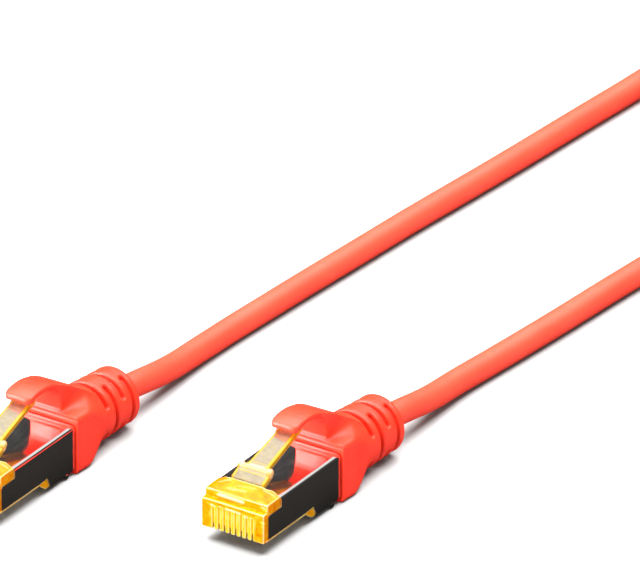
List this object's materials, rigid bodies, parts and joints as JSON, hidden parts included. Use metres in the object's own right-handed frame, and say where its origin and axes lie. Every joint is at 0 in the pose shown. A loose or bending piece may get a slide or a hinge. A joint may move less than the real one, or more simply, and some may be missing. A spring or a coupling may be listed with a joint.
{
  "type": "network patch cable",
  "caption": "Shielded network patch cable with a modular plug, press latch and hooded bend-relief boot at each end, its spare cord wound in a tied coil.",
  "frame": {"origin": "on the table, below the middle of the box around both plugs and boots", "axes": "both plugs point along -X and lie side by side along Y, latches up towards +Z; the cord leaves towards +X"},
  "size_m": [0.2229, 0.0748, 0.0158],
  "materials": {
    "plug_plastic": "clear yellow moulded polycarbonate, glossy",
    "nickel_shield": "bright nickel-plated sheet, mirror smooth",
    "gold_contact": "gold-plated phosphor bronze",
    "guide_plastic": "pale translucent plastic",
    "wire_insulation": "smooth insulation",
    "pair_foil": "bright foil",
    "braid_wire": "tinned copper braid",
    "jacket_pvc": "satin coral-red jacket",
    "boot_pvc": "soft glossy coral-red moulding",
    "tie_nylon": "satin black nylon"
  },
  "bodies": {
    "cable": {"plug_housing_a": "plug_plastic", "contacts_a": "gold_contact", "shield_a": "nickel_shield", "load_bar_a": "guide_plastic", "conductors_a": "wire_insulation", "pair_foils_a": "pair_foil", "braid_a": "braid_wire", "crimp_collar_a": "nickel_shield", "jacket_end_a": "jacket_pvc", "boot_a": "boot_pvc", "plug_housing_b": "plug_plastic", "contacts_b": "gold_contact", "shield_b": "nickel_shield", "load_bar_b": "guide_plastic", "conductors_b": "wire_insulation", "pair_foils_b": "pair_foil", "braid_b": "braid_wire", "crimp_collar_b": "nickel_shield", "jacket_end_b": "jacket_pvc", "boot_b": "boot_pvc", "cord_lead_a": "jacket_pvc", "cord_lead_b": "jacket_pvc", "cord_coil": "jacket_pvc", "cable_tie": "tie_nylon"},
    "latch_a": {"plug_latch_a": "plug_plastic"},
    "hood_a": {"latch_hood_a": "boot_pvc"},
    "latch_b": {"plug_latch_b": "plug_plastic"},
    "hood_b": {"latch_hood_b": "boot_pvc"}
  },
  "joints": [
    {"name": "hood_press_a", "type": "hinge", "parent": "cable", "child": "hood_a", "pos_m": [0.0108, -0.01965, 0.013], "axis": [0, -1, 0], "range_deg": [0, 19], "stiffness_Nm_per_rad": 0.005},
    {"name": "latch_press_a", "type": "hinge", "parent": "cable", "child": "latch_a", "pos_m": [-0.0097, -0.01965, 0.00875], "axis": [0, 1, 0], "range_deg": [0, 12], "stiffness_Nm_per_rad": 0.005},
    {"name": "hood_press_b", "type": "hinge", "parent": "cable", "child": "hood_b", "pos_m": [-0.004, 0.01965, 0.013], "axis": [0, -1, 0], "range_deg": [0, 19], "stiffness_Nm_per_rad": 0.005},
    {"name": "latch_press_b", "type": "hinge", "parent": "cable", "child": "latch_b", "pos_m": [-0.0245, 0.01965, 0.00875], "axis": [0, 1, 0], "range_deg": [0, 12], "stiffness_Nm_per_rad": 0.005}
  ],
  "couplings": [
    {"joint": "latch_press_a", "follows": "hood_press_a", "ratio": 0.63},
    {"joint": "latch_press_b", "follows": "hood_press_b", "ratio": 0.63}
  ]
}
